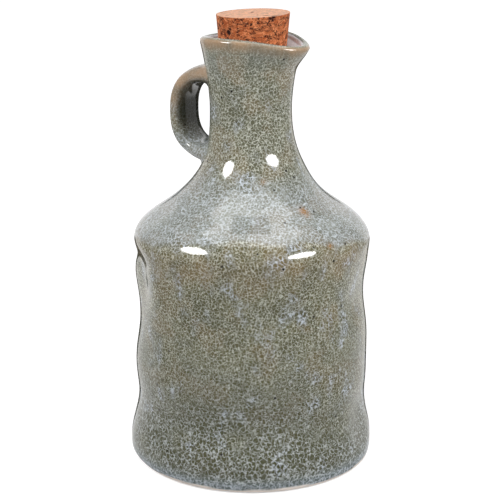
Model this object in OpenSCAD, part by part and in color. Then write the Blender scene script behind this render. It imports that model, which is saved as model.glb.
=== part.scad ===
// Vinegar crock: a thrown stoneware bottle with a pulled lip and a one-finger strap handle,
// closed by a tapered cork. Millimetres, +Z up. The pulled lip points along +X and the handle
// along -X. The origin is the centre of the foot, on the surface that the crock stands on.

/* [Foot] */
// Diameter across the foot, the widest place
foot_d = 126; // [121:0.2:130]
// Height at which the foot is widest
foot_h = 6.5; // [5:0.5:9]
// How far the bottom edge is drawn in under the foot
foot_tuck = 4.2; // [2:0.2:4.4]
// Height over which the foot's flare runs out into the wall
flare_run = 31; // [26:1:44]
// How far the standing edge sits off the crock's axis, as the foot sagged in drying
foot_push = 0.8; // [0:0.1:1.2]
// Diameter of the hollow turned in the base
turned_d = 98; // [84:1:106]
// Depth of the hollow turned in the base
turned_depth = 1.6; // [1:0.1:2.4]

/* [Body] */
// Mean diameter of the upright wall
body_d = 118.4; // [112:0.2:120]
// Height of the ring where the shoulder starts
shoulder_h = 114; // [104:1:122]
// How far the wall still climbs upright into the shoulder's curve
shoulder_pull = 25; // [18:1:30]
// How far the corner of the shoulder stands proud
shoulder_ridge = 0.9; // [0:0.1:1.4]
// Thickness of the wall
wall = 5; // [4:0.25:6]
// Thickness of the floor above the turned hollow
floor_t = 6; // [5:0.5:8]

/* [Neck] */
// Diameter at the neck's waist, its narrowest place
neck_d = 41.2; // [40.4:0.2:46]
// Height of the neck's waist
neck_h = 183; // [178:1:188]
// How far the neck already falls upright into the shoulder's curve
neck_pull = 56; // [48:1:60]

/* [Rim and lip] */
// Diameter across the rim, away from the pulled lip
rim_d = 50.6; // [48.6:0.2:54]
// Mean height of the rim
rim_h = 218; // [214:0.2:222]
// Thickness of the rounded rim
rim_t = 4.4; // [3.6:0.2:5]
// How far the lip is pulled out past the rim's circle
lip_reach = 6.4; // [4:0.2:9]
// Half the angle that the pulled lip spreads over, in degrees
lip_spread = 32; // [24:1:38]
// How far below the rim the pull begins
lip_depth = 17; // [14:1:22]
// How far the lip's tip dips below the rim
lip_drop = 2.6; // [1:0.2:4]
// Height of the rim's slow wave: low over lip and handle, high between them
rim_wave = 0.7; // [0.2:0.1:1.2]

/* [Marks of the hand] */
// Height of the throwing ripple, mean to crest
ripple = 0.9; // [0.4:0.1:1.3]
// Climb from one ripple to the next
ripple_pitch = 53; // [44:1:62]
// Height of the lowest crest
ripple_start = 4; // [0:1:10]
// How far the ripples dip on their low side
ripple_lean = 5.5; // [2:0.5:9]
// Depth of the finer unevenness between the ripples
wobble = 0.45; // [0.2:0.05:0.7]

/* [Handle] */
// How far the handle stands out from the crock's axis
handle_reach = 44.6; // [39:0.2:46]
// Height of the middle of the handle's loop
handle_h = 178; // [174:1:182]
// Height of the loop, outside
loop_h = 48.4; // [44:0.2:52]
// Squareness of the loop: 2 is an ellipse, more is squarer
loop_square = 2.5; // [2:0.1:2.8]
// Width of the strap
strap_w = 21; // [16:0.5:24]
// Thickness of the strap
strap_t = 8.4; // [7:0.2:9.6]
// How much the strap swells where it is luted to the neck
root_swell = 1.25; // [1:0.05:1.4]

/* [Cork] */
// Diameter of the cork's top
cork_top_d = 36.6; // [35:0.2:38]
// Diameter of the cork's lower end
cork_end_d = 30.4; // [29:0.2:31.4]
// Length of the cork
cork_len = 34; // [30:1:37]
// How far the cork stands above the rim
cork_proud = 11; // [9:0.2:14]
// How far the cork and its seat sit off the crock's axis, towards the lip
cork_shift = 1.2; // [0:0.1:1.8]
// Slant of the cork's sawn top, in degrees
cork_slant = 2.3; // [0:0.1:4]
// Bevel round the cork's lower end
cork_bevel = 1; // [0.4:0.1:2]
// Clearance between the cork and its seat
cork_fit = 0.25; // [0.15:0.05:0.5]

/* [Hidden] */

glaze_colour = [0.47, 0.49, 0.43];
cork_colour = [0.72, 0.45, 0.27];

// Side on which the ripples dip, and side on which the cork's top is sawn low
lean_side = 212;
slant_side = -110;
// Side to which the standing edge is pushed, and the height over which that fades out
push_side = 32;
push_h = 5;
// Height and half width of the ridge round the shoulder's corner
ridge_h = 119;
ridge_half = 6.5;
// Rise of the flare from waist to rim: 1 is straight, more is later
flare_power = 1.6;
// Place of each press of the palm: angle, height, half angle, half height, depth.
// A press below zero is a bulge
presses = [
    [-130, 97, 14, 15, 3.6],
    [10, 92, 14, 20, 1.5],
    [10, 22, 14, 16, 2.6],
    [-118, 58, 14, 12, 0.9],
    [205, 66, 40, 34, 0.8],
    [95, 70, 26, 22, 1.8],
    [170, 36, 24, 20, 1.2],
    [32, 42, 34, 16, -1.8],
    [212, 96, 24, 9, -0.9],
    [212, 107, 40, 4.5, 1],
    [212, 131, 60, 7, 1.4],
    [32, 151, 60, 13, -1.2],
    [212, 157, 60, 14, 1.2],
];

// Height at which the cork's lower end rests, and the cork's taper per millimetre
cork_top_h = rim_h + cork_proud;
cork_end_h = cork_top_h - cork_len;
cork_taper = (cork_top_d - cork_end_d) / 2 / cork_len;
// The mouth funnels down to where the cork's seat takes over
throat_h = rim_h - 14;
throat_r = cork_end_d / 2 - 2;
// The inside narrows to the neck's bore at this height
bore_h = neck_h - 24;
bore_r = cork_end_d / 2 + cork_fit;

// Facets: round the crock, round its inside, and round the strap
around = 60;
around_inside = 40;
around_strap = 16;

function mix(a, b, t) = a + (b - a) * t;
function ease(t) = let (u = min(max(t, 0), 1)) u * u * (3 - 2 * u);
function bell(x) = exp(-x * x);
function turn(a, b) = (a - b + 540) % 360 - 180;
function total(v, i = 0) = i < len(v) ? v[i] + total(v, i + 1) : 0;
function bezier(p, t) =
    pow(1 - t, 3) * p[0] + 3 * pow(1 - t, 2) * t * p[1] + 3 * (1 - t) * t * t * p[2] + pow(t, 3) * p[3];
function rounded(angle, power) = sign(cos(angle)) * pow(abs(cos(angle)), 2 / power);

// The crock's mean outline as [height, radius]: the foot's edge, the upright wall,
// one curve from shoulder to neck, and the flare up to the rim
foot_line = [for (i = [0:4]) let (a = 90 * i / 4)
    [foot_h * (1 - cos(a)), foot_d / 2 - foot_tuck * (1 - sin(a))]];
wall_line = [for (i = [1:17]) let (h = mix(foot_h, shoulder_h, i / 17))
    [h, mix(foot_d / 2, body_d / 2, ease((h - foot_h) / flare_run))]];
shoulder_curve = [
    [shoulder_h, body_d / 2],
    [shoulder_h + shoulder_pull, body_d / 2],
    [neck_h - neck_pull, neck_d / 2],
    [neck_h, neck_d / 2],
];
shoulder_line = [for (i = [1:16]) bezier(shoulder_curve, i / 16)];
flare_line = [for (i = [1:7]) let (s = i / 7)
    [mix(neck_h, rim_h - rim_t / 2, s), mix(neck_d / 2, rim_d / 2, pow(s, flare_power))]];
outline = concat(foot_line, wall_line, shoulder_line, flare_line);

// What the potter's hands did to the mean outline, at a height h and an angle a round it
function ripples(h, a) =
    ripple * cos(360 * (h + ripple_lean * cos(a - lean_side) - ripple_start) / ripple_pitch)
    + wobble * sin(3 * a + 40 + 6.4 * h) * cos(2 * a - 4.1 * h);
function pressed(h, a) =
    total([for (p = presses) p[4] * bell(turn(a, p[0]) / p[2]) * bell((h - p[1]) / p[3])]);
function marks(h, a) =
    ease((h - foot_h) / 12) * (1 - ease((h - shoulder_h) / 16)) * ripples(h, a)
    - ease((h - foot_h) / 8) * pressed(h, a)
    + foot_push * cos(a - push_side) * (1 - ease(h / push_h))
    + shoulder_ridge * bell((h - ridge_h) / ridge_half);
function pull(h, a) = lip_reach * ease((h - rim_h + lip_depth) / lip_depth) * bell(turn(a, 0) / lip_spread);
function lift(h, a) =
    ease((h - neck_h) / (rim_h - neck_h)) * (-rim_wave * cos(2 * a) - lip_drop * bell(turn(a, 0) / 42));

// A point of the skin: from the mean outline, marked, set in from the surface and raised
function skin_radius(h, r, a) = r + marks(h, a) + pull(h, a);
function skin_point(h, r, a, inset, raised) =
    let (reach = skin_radius(h, r, a) - inset)
    [reach * cos(a), reach * sin(a), h + lift(h, a) + raised];

function outer_rings() = [for (p = outline) [for (j = [0:around - 1])
    skin_point(p[0], p[1], 360 * j / around, 0, 0)]];

// The rim is a half round, carried on from the outline's last point
function rim_rings() = let (last = outline[len(outline) - 1])
    [for (i = [1:5]) let (a = 180 * i / 5) [for (j = [0:around - 1])
        skin_point(last[0], last[1], 360 * j / around, rim_t / 2 * (1 - cos(a)), rim_t / 2 * sin(a))]];

// The mouth funnels from the rim's inner edge, lip and all, to a small circle in the seat
function throat_rings() = let (last = outline[len(outline) - 1])
    [for (i = [1:5]) let (s = i / 5) [for (j = [0:around - 1])
        let (a = 360 * j / around)
        let (edge = skin_point(last[0], last[1], a, rim_t, 0))
        let (r = mix(norm([edge[0], edge[1]]), throat_r, sin(90 * s)))
        [r * cos(a) + cork_shift * s, r * sin(a), mix(edge[2], throat_h, s)]]];

// The inside keeps the wall's thickness, measured square to the mean outline
function set_in(line, i) =
    let (d = line[min(i + 1, len(line) - 1)] - line[max(i - 1, 0)])
    line[i] + wall * [d[1], -d[0]] / norm(d);
inside_floor = turned_depth + floor_t;
inside_wall = [for (i = [0:len(outline) - 1]) let (p = set_in(outline, i))
    if (p[0] > inside_floor + wall && p[0] < bore_h) p];
inside_corner = inside_wall[0][0] - inside_floor;
inside_foot = [for (i = [0:3]) let (a = 90 * i / 4)
    [inside_floor + inside_corner * (1 - cos(a)), inside_wall[0][1] - inside_corner * (1 - sin(a))]];
inside_line = concat(inside_foot, inside_wall,
    [[inside_wall[len(inside_wall) - 1][0] + wall, bore_r - wall / 2]]);

function inside_rings() = [for (p = inside_line) [for (j = [0:around_inside - 1])
    skin_point(p[0], p[1], 360 * j / around_inside, 0, 0)]];

// The strap's middle line is a squared ellipse that starts and ends inside the neck's wall.
// Its angle is 0 straight out from the neck and 90 at the top
loop_x = neck_d / 2 - 1;
loop_reach = handle_reach - loop_x - strap_t / 2;
loop_rise = (loop_h - strap_t) / 2;
root_turn = 98;
strap_steps = 30;
function strap_middle(a) =
    [-loop_x - loop_reach * rounded(a, loop_square), handle_h + loop_rise * rounded(90 - a, loop_square)];
function strap_ring(a) =
    let (along = strap_middle(a - 1) - strap_middle(a + 1))
    let (out = [along[1], -along[0]] / norm(along))
    let (swell = mix(1, root_swell, ease((abs(a) - 55) / 43)))
    [for (j = [0:around_strap - 1])
        let (b = 360 * j / around_strap)
        let (across = swell * strap_w / 2 * rounded(b, 2.6))
        let (p = strap_middle(a) + swell * strap_t / 2 * rounded(90 - b, 2.6) * out)
        [p[0], -across, p[1]]];
function strap_rings() = [for (i = [0:strap_steps]) strap_ring(mix(root_turn, -root_turn, i / strap_steps))];

// A closed solid through a list of rings, each with as many points as the first
module loft(rings) {
    n = len(rings[0]);
    last = (len(rings) - 1) * n;
    sides = [for (i = [0:len(rings) - 2], j = [0:n - 1])
        let (a = i * n + j, b = i * n + (j + 1) % n)
        each [[a, a + n, b + n], [a, b + n, b]]];
    start = [[for (j = [0:n - 1]) j]];
    end = [[for (j = [0:n - 1]) last + n - 1 - j]];
    polyhedron(points = [for (ring = rings) each ring], faces = concat(start, sides, end), convexity = 8);
}

// Outside, rim and mouth are one skin, as they were thrown
module thrown_skin() {
    loft(concat(outer_rings(), rim_rings(), throat_rings()));
}

module strap() {
    loft(strap_rings());
}

module inside() {
    loft(inside_rings());
}

// The neck's bore and, above it, the seat that has the cork's own taper
module bore_and_seat() {
    low = bore_h - 2 * wall;
    high = rim_h + rim_t;
    translate([cork_shift, 0, 0])
        rotate_extrude($fn = 96)
            polygon([
                [0, low],
                [bore_r, low],
                [bore_r, cork_end_h],
                [bore_r + (high - cork_end_h) * cork_taper, high],
                [0, high],
            ]);
}

module turned_base() {
    translate([0, 0, -1])
        cylinder(h = turned_depth + 1, d = turned_d, $fn = 120);
}

module crock() {
    color(glaze_colour)
        difference() {
            union() {
                thrown_skin();
                strap();
            }
            inside();
            bore_and_seat();
            turned_base();
        }
}

// A tapered stopper with a bevelled lower end and a top that was sawn a little askew
module cork() {
    spare = cork_top_d * sin(cork_slant);
    color(cork_colour)
        translate([cork_shift, 0, 0])
            difference() {
                rotate_extrude($fn = 96)
                    polygon([
                        [0, cork_end_h],
                        [cork_end_d / 2 - cork_bevel, cork_end_h],
                        [cork_end_d / 2 + cork_bevel * cork_taper, cork_end_h + cork_bevel],
                        [cork_top_d / 2 + spare * cork_taper, cork_top_h + spare],
                        [0, cork_top_h + spare],
                    ]);
                translate([0, 0, cork_top_h])
                    rotate([0, cork_slant, slant_side])
                        translate([-cork_top_d, -cork_top_d, 0])
                            cube([2 * cork_top_d, 2 * cork_top_d, cork_top_d]);
            }
}

crock();
cork();
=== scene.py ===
# %% [markdown]
# The vinegar crock is a thrown stoneware bottle with a pulled lip, a strap handle for one
# finger, and a tapered cork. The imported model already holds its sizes, its pieces and the
# way the cork comes out, so this script loads it first and only gives it its looks. Every
# new piece is worked out in metres in the same frame: +Z up, the lip along +X, the handle
# along -X, and the origin under the middle of the foot.

import bpy
import numpy as np
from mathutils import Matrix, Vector


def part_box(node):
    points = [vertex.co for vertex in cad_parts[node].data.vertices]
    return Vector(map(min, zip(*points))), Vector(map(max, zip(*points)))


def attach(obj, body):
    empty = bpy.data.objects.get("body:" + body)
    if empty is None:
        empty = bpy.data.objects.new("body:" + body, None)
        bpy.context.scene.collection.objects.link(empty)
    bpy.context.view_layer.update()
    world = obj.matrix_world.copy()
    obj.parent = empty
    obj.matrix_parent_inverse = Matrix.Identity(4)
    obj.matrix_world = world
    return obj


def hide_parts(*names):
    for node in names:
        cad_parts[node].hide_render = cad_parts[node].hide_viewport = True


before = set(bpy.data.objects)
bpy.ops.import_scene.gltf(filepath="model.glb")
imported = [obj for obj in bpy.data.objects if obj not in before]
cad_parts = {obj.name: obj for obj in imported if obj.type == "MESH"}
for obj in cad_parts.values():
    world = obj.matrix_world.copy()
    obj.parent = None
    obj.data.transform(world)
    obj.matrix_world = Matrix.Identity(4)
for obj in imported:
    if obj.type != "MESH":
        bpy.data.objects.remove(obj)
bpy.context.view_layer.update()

# %% [markdown]
# A thrown pot is a surface of two parameters: how far along the outline, and the angle
# round the wheel. So each piece here is a grid of points, worked out as whole arrays, and
# one helper turns any such grid into a mesh. Rings run from the first to the last row,
# counter-clockwise seen from the far end, which makes every face point outwards.

# %% Grids into closed shells
MM = 0.001


def ring_faces(rows, cols):
    """Quads between neighbouring rings of a grid whose columns join up at the seam."""
    row = np.arange(rows - 1)[:, None] * cols
    here = np.arange(cols)[None, :]
    after = (here + 1) % cols
    quads = np.stack([row + here, row + after, row + cols + after, row + cols + here], -1)
    return quads.reshape(-1, 4)


def capped_shell(grid):
    """Points and faces of a closed shell: the grid's rings, with a fan to each end's middle."""
    rows, cols = grid.shape[:2]
    points = np.concatenate([grid.reshape(-1, 3), grid[:1].mean(1), grid[-1:].mean(1)])
    here = np.arange(cols)
    after = (here + 1) % cols
    first, last = rows * cols, (rows - 1) * cols
    start = np.stack([np.full(cols, first), after, here], -1)
    end = np.stack([np.full(cols, first + 1), last + here, last + after], -1)
    return points, ring_faces(rows, cols), np.concatenate([start, end])


# %% [markdown]
# Blender's own from_pydata builds a mesh face by face, which is slow for a hundred thousand
# of them. Filling the mesh's arrays at once is quick, and it takes the same numbers. What a
# material should know about a place travels with the mesh too, as a number on each point.

# %% Shells into a mesh


def mesh_object(name, shells, masks):
    """One smooth object of several closed shells, with a named number on each point."""
    points, quads, fans, base = [], [], [], 0
    for shell_points, shell_quads, shell_fans in shells:
        points.append(shell_points)
        quads.append(shell_quads + base)
        fans.append(shell_fans + base)
        base += len(shell_points)
    points, quads, fans = np.concatenate(points), np.concatenate(quads), np.concatenate(fans)
    mesh = bpy.data.meshes.new(name)
    mesh.vertices.add(len(points))
    mesh.vertices.foreach_set("co", points.astype(np.float32).ravel())
    loops = np.concatenate([quads.ravel(), fans.ravel()])
    mesh.loops.add(len(loops))
    mesh.loops.foreach_set("vertex_index", loops.astype(np.int32))
    starts = np.concatenate([np.arange(len(quads)) * 4, len(quads) * 4 + np.arange(len(fans)) * 3])
    mesh.polygons.add(len(starts))
    mesh.polygons.foreach_set("loop_start", starts.astype(np.int32))
    mesh.update(calc_edges=True)
    mesh.validate()
    mesh.shade_smooth()
    for label, values in masks.items():
        layer = mesh.attributes.new(label, "FLOAT", "POINT")
        layer.data.foreach_set("value", values.astype(np.float32))
        print(label, "mean:", values.mean().round(3), "highest:", values.max().round(2))
    thing = bpy.data.objects.new(name, mesh)
    bpy.context.collection.objects.link(thing)
    print(name, "faces:", len(mesh.polygons), "size mm:", np.ptp(points, axis=0).round(4) / MM)
    return thing


# %% [markdown]
# The mean outline comes first: the rounded edge of the foot, the upright wall, one Bezier
# curve that sweeps from the shoulder into the neck, and the flare up to the rim. These are
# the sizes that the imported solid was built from, here in metres. A Bezier needs only its
# ends and two pulls, which is how a potter's rib shapes a shoulder: one even sweep.

# %% The outline
FOOT_R, FOOT_H, FOOT_TUCK, FLARE_RUN = 63 * MM, 6.5 * MM, 4.2 * MM, 31 * MM
BODY_R, SHOULDER_H, SHOULDER_PULL = 59.2 * MM, 114 * MM, 25 * MM
NECK_R, NECK_H, NECK_PULL = 20.6 * MM, 183 * MM, 56 * MM
RIM_R, RIM_H, RIM_T, FLARE_POWER = 25.3 * MM, 218 * MM, 4.4 * MM, 1.6


def ease(t):
    """A smooth step from 0 to 1: three times the square less twice the cube."""
    u = np.clip(t, 0, 1)
    return u * u * (3 - 2 * u)


def bezier(a, b, c, d, t):
    """The cubic Bezier curve through a and d, pulled towards b and c."""
    t = t[:, None]
    return (1 - t) ** 3 * a + 3 * (1 - t) ** 2 * t * b + 3 * (1 - t) * t * t * c + t ** 3 * d


def mean_outline(foot_n=10, wall_n=92, shoulder_n=64, flare_n=30):
    """Rows of [height, radius]: a quarter ellipse round the foot's edge, a wall that an eased step
    narrows, the Bezier curve, and a flare by a power of the height up to the rounded rim."""
    turn = np.linspace(0, np.pi / 2, foot_n)
    foot = np.stack([FOOT_H * (1 - np.cos(turn)), FOOT_R - FOOT_TUCK * (1 - np.sin(turn))], -1)
    height = np.linspace(FOOT_H, SHOULDER_H, wall_n + 1)[1:]
    flare = (FOOT_R - BODY_R) * (1 - ease((height - FOOT_H) / FLARE_RUN))
    wall = np.stack([height, BODY_R + flare], -1)
    pull = np.array([[SHOULDER_H, BODY_R], [SHOULDER_H + SHOULDER_PULL, BODY_R],
                     [NECK_H - NECK_PULL, NECK_R], [NECK_H, NECK_R]])
    shoulder = bezier(*pull, np.linspace(0, 1, shoulder_n + 1)[1:])
    step = np.linspace(0, 1, flare_n + 1)[1:]
    rise = NECK_H + (RIM_H - RIM_T / 2 - NECK_H) * step
    mouth = np.stack([rise, NECK_R + (RIM_R - NECK_R) * step ** FLARE_POWER], -1)
    return np.concatenate([foot, wall, shoulder, mouth])


outline = mean_outline()
print("outline points:", len(outline), "height mm:", outline[-1, 0] / MM)

# %% [markdown]
# Hands leave their marks on that outline. Throwing ripples climb the wall and lie a little
# lower on one side, palms have pressed it in a few places, and the foot was pushed over a
# little. Each mark is a formula of height and angle, so the same marks can be laid on the
# outside and the inside. Sculpting them by hand would move the two faces apart.

# %% The marks of the hand
RIPPLE, RIPPLE_PITCH, RIPPLE_START, RIPPLE_LEAN, LEAN_SIDE = 0.9 * MM, 53 * MM, 4 * MM, 5.5 * MM, 212
RIPPLE_IN, RIPPLE_OUT, PRESS_IN = 12 * MM, 16 * MM, 8 * MM
WOBBLE = 0.45 * MM
FOOT_PUSH, PUSH_SIDE, PUSH_HEIGHT = 0.8 * MM, 32, 5 * MM
RIDGE, RIDGE_H, RIDGE_HALF = 0.9 * MM, 119 * MM, 6.5 * MM
# Each press of a palm: angle, height mm, half angle, half height mm, depth mm
PRESSES = np.array([
    [-130, 97, 14, 15, 3.6], [10, 92, 14, 20, 1.5], [10, 22, 14, 16, 2.6], [-118, 58, 14, 12, 0.9],
    [205, 66, 40, 34, 0.8], [95, 70, 26, 22, 1.8], [170, 36, 24, 20, 1.2], [32, 42, 34, 16, -1.8],
    [212, 96, 24, 9, -0.9], [212, 107, 40, 4.5, 1], [212, 131, 60, 7, 1.4], [32, 151, 60, 13, -1.2],
    [212, 157, 60, 14, 1.2]])
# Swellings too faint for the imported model, in the same terms: they only bend the reflections
SWELLINGS = np.array([[-58, 127.5, 60, 5, -0.8], [-58, 150, 60, 7, -0.7]])


def bell(x):
    """A hump of height 1: e to the power of minus x squared."""
    return np.exp(-x * x)


def turn_between(a, b):
    """The signed turn from b to a, in degrees within half a circle."""
    return (a - b + 180) % 360 - 180


def marks(h, a):
    """What hands added to the radius: a leaning cosine ripple, a fine wobble of a sine times a
    cosine, the presses as humps, the pushed foot as a cosine of the angle, and a ridge."""
    lean = RIPPLE_LEAN * np.cos(np.radians(a - LEAN_SIDE))
    ripple = RIPPLE * np.cos(2 * np.pi * (h + lean - RIPPLE_START) / RIPPLE_PITCH)
    climbing = np.sin(np.radians(3 * a + 40 + 6.4 * h / MM))
    wobble = WOBBLE * climbing * np.cos(np.radians(2 * a - 4.1 * h / MM))
    pressed = sum(depth * MM * bell(turn_between(a, at) / spread) * bell((h / MM - height) / half)
                  for at, height, spread, half, depth in np.concatenate([PRESSES, SWELLINGS]))
    fade = ease((h - FOOT_H) / RIPPLE_IN) * (1 - ease((h - SHOULDER_H) / RIPPLE_OUT))
    pushed = FOOT_PUSH * np.cos(np.radians(a - PUSH_SIDE)) * (1 - ease(h / PUSH_HEIGHT))
    ridge = RIDGE * bell((h - RIDGE_H) / RIDGE_HALF)
    return fade * (ripple + wobble) - ease((h - FOOT_H) / PRESS_IN) * pressed + pushed + ridge


compass = marks(SHOULDER_H / 2, np.arange(0, 360, 45))
print("marks halfway up the wall, mm:", (compass / MM).round(2))

# %% [markdown]
# The lip was pulled out and down with a finger while the clay was wet, and the whole rim
# waves a little. Both are formulas again: a bell round the lip's own angle, which is zero,
# and a wave of two swings round the rim that fades out down the neck.

# %% The pulled lip and the waving rim
LIP_REACH, LIP_SPREAD, LIP_DEPTH, LIP_DROP, LIP_DIP = 6.4 * MM, 32, 17 * MM, 2.6 * MM, 42
RIM_WAVE = 0.7 * MM


def lip_pull(h, a):
    """How far the lip swells out of the neck: an eased rise times a bell round the lip."""
    return LIP_REACH * ease((h - RIM_H + LIP_DEPTH) / LIP_DEPTH) * bell(turn_between(a, 0) / LIP_SPREAD)


def rim_lift(h, a):
    """How far the rim's wave and the lip's dip move a point up, fading out down the neck."""
    wave = -RIM_WAVE * np.cos(np.radians(2 * a)) - LIP_DROP * bell(turn_between(a, 0) / LIP_DIP)
    return ease((h - NECK_H) / (RIM_H - NECK_H)) * wave


def thrown(h, r, a, inset=0.0, raised=0.0):
    """Points of the thrown wall: radius r marked and set in, height h lifted and raised."""
    reach = r + marks(h, a) + lip_pull(h, a) - inset
    turn = np.radians(a)
    return np.stack([reach * np.cos(turn), reach * np.sin(turn), h + rim_lift(h, a) + raised], -1)


AROUND, RIM_STEPS = 256, 14
angles = np.arange(AROUND)[None, :] * 360 / AROUND
outer = thrown(outline[:, 0][:, None], outline[:, 1][:, None], angles)
print("widest mm:", np.ptp(outer[..., 1]).round(4) / MM)

# %% [markdown]
# The whole pot is one closed skin, laid out in the order that a finger could trace it: from
# the middle of the turned base, over the foot, up the wall, over the rounded rim, down the
# funnelled mouth and the cork's seat, through the neck's bore and round the inside to the
# middle of the floor. First the base, which a potter turns hollow once the clay is stiff,
# so that the pot stands on a ring and doesn't rock.

# %% The turned base and the rounded rim
TURNED_R, TURNED_DEPTH = 49 * MM, 1.6 * MM
# Each ring of the base: height as a share of the hollow's depth, mm outwards from its edge
BASE_RINGS = np.array([
    [1, -41], [1, -29], [1, -17], [1, -7], [1, -2], [0.96875, -0.8], [0.8125, -0.2], [0.5, 0],
    [0.1875, 0.1], [0.0375, 0.5], [0, 1.2], [0, 3], [0, 6], [0, 9]])


def disc_rings(profile, shift=0.0):
    """Plain turned rings from rows of [height, radius], round an axis shifted along X."""
    h, r = profile[:, 0][:, None], profile[:, 1][:, None]
    turn = np.radians(angles)
    return np.stack([r * np.cos(turn) + shift, r * np.sin(turn), h + 0 * turn], -1)


def rim_rings():
    """Half a circle in section, carried on from the outline's last point all round the rim."""
    turn = np.linspace(0, np.pi, RIM_STEPS + 1)[1:, None]
    h, r = outline[-1]
    return thrown(h, r, angles, RIM_T / 2 * (1 - np.cos(turn)), RIM_T / 2 * np.sin(turn))


base = disc_rings(BASE_RINGS * [TURNED_DEPTH, MM] + [0, TURNED_R])
rim = rim_rings()
print("base rings:", len(base), "rim rings:", len(rim))

# %% [markdown]
# The cork sets the mouth's size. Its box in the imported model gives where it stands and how
# wide its top is, and the seat is its own taper with a little room. Above the seat the
# mouth opens like a funnel, as a thumb leaves it, and a sine from the rim's inner edge
# down to the seat draws just that.

# %% The mouth and the cork's seat
cork_low, cork_high = np.array(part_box("cork"))
CORK_X, CORK_END_H = (cork_low[0] + cork_high[0]) / 2, cork_low[2]
CORK_TOP_R = (cork_high[0] - cork_low[0]) / 2
CORK_LENGTH, CORK_END_R, CORK_BROAD_R, CORK_FIT = 34 * MM, 15.2 * MM, 18.3 * MM, 0.25 * MM
CORK_TOP_H = CORK_END_H + CORK_LENGTH
CORK_TAPER = (CORK_BROAD_R - CORK_END_R) / CORK_LENGTH
BORE_R = CORK_END_R + CORK_FIT
THROAT_DEPTH, THROAT_TUCK, SEAT_DEPTH = 14 * MM, 2 * MM, 15 * MM


def seat_radius(h):
    """The seat's radius: the cork's own taper plus the fit."""
    return BORE_R + (h - CORK_END_H) * CORK_TAPER


def throat_rings(steps=18):
    """The mouth: rings that shrink by a sine from the rim's inner edge to the cork's seat."""
    h, r = outline[-1]
    edge = thrown(h, r, angles, RIM_T, 0.0)
    end_h, end_r = RIM_H - THROAT_DEPTH, CORK_END_R - THROAT_TUCK
    s = np.linspace(0, 1, steps + 1)[1:, None]
    turn = np.radians(angles)
    edge_r = np.hypot(edge[..., 0], edge[..., 1])
    ring_r = edge_r + (end_r - edge_r) * np.sin(s * np.pi / 2)
    height = edge[..., 2] * (1 - s) + end_h * s
    ring_r = np.maximum(ring_r, seat_radius(height))
    return np.stack([ring_r * np.cos(turn) + CORK_X * s, ring_r * np.sin(turn), height], -1)


throat = throat_rings()
print("cork's middle x mm:", CORK_X / MM, "seat's radius mm:", seat_radius(RIM_H - SEAT_DEPTH) / MM)

# %% [markdown]
# Nobody sees the inside, but a bottle without one would be a solid lump. Its wall is the
# mean outline set in square to itself by the wall's thickness, with the same marks of the
# hand, and a quarter circle leads from the wall to the floor.

# %% The inside
WALL, FLOOR_T, CORNER_WALLS = 5 * MM, 6 * MM, 1.4
BORE_H, BORE_START, BORE_LAP = NECK_H - 24 * MM, 2 * MM, 3 * MM
BORE_RINGS, FLOOR_SHARES = 8, np.array([0.7, 0.4, 0.15])


def inside_rings():
    """From the top down: the tapered seat, the straight bore, the outline moved square to itself
    by the wall, a quarter circle, and the flat floor."""
    seat_h = np.linspace(RIM_H - SEAT_DEPTH, CORK_END_H, 5)
    seat = disc_rings(np.stack([seat_h, seat_radius(seat_h)], -1), CORK_X)
    bore_h = np.linspace(CORK_END_H - BORE_START, BORE_H + BORE_LAP, BORE_RINGS)
    bore = disc_rings(np.stack([bore_h, np.full(BORE_RINGS, BORE_R)], -1), CORK_X)
    along = np.gradient(outline, axis=0)
    along /= np.linalg.norm(along, axis=1)[:, None]
    inner = outline + WALL * np.stack([along[:, 1], -along[:, 0]], -1)
    floor = TURNED_DEPTH + FLOOR_T
    inner = inner[(inner[:, 0] > floor + WALL * CORNER_WALLS) & (inner[:, 0] < BORE_H)][::-3]
    wall = thrown(inner[:, 0][:, None], inner[:, 1][:, None], angles)
    last_h, last_r = inner[-1]
    corner = last_h - floor
    turn = np.linspace(np.pi / 2, 0, 7)[1:]
    corner_rows = [floor + corner * (1 - np.cos(turn)), last_r - corner * (1 - np.sin(turn))]
    flat_rows = [floor + 0 * FLOOR_SHARES, last_r * FLOOR_SHARES]
    edge, flat = disc_rings(np.stack(corner_rows, -1)), disc_rings(np.stack(flat_rows, -1))
    return np.concatenate([seat, bore, wall, edge, flat])


pot = np.concatenate([base, outer, rim, throat, inside_rings()])
print("pot rings:", pot.shape[0], "height mm:", pot[..., 2].max() / MM)

# %% [markdown]
# The handle is a strap of clay, bent into a loop and luted to the neck. Its middle line is
# a squared ellipse: a plain ellipse with the cosine and the sine each raised to a power
# below one, which pushes the curve out towards the corners of its box. A Bezier curve with
# a bevel would make the loop too, but its ends couldn't spread over the neck as clay does.

# %% The strap's middle line
HANDLE_REACH, HANDLE_H, LOOP_H, LOOP_SQUARE = 44.6 * MM, 178 * MM, 48.4 * MM, 2.5
STRAP_W, STRAP_T, STRAP_SQUARE, ROOT_TURN = 21 * MM, 8.4 * MM, 2.6, 98
LOOP_X = NECK_R - 1 * MM


def rounded(angle, power):
    """The cosine of an angle, squared off: its size to the power of 2 over the squareness."""
    c = np.cos(np.radians(angle))
    return np.sign(c) * np.abs(c) ** (2 / power)


def strap_middle(a):
    """The loop's middle line in the plane through the axis: [x, z] at an angle, 90 at the top."""
    reach = HANDLE_REACH - LOOP_X - STRAP_T / 2
    rise = (LOOP_H - STRAP_T) / 2
    return np.stack([-LOOP_X - reach * rounded(a, LOOP_SQUARE),
                     HANDLE_H + rise * rounded(90 - a, LOOP_SQUARE)], -1)


print("the loop's outermost point, mm:", strap_middle(np.array([0.0])) / MM)

# %% [markdown]
# The strap's section is a rounded oblong that swells towards the roots. The potter smooths
# each joint with a wet finger, so near the neck the strap spreads out in a fillet: the
# closer a point lies to the neck, the more a quarter circle spreads its section, and the
# point is then set back to its old distance from the neck, so the fillet hugs it.

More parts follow.
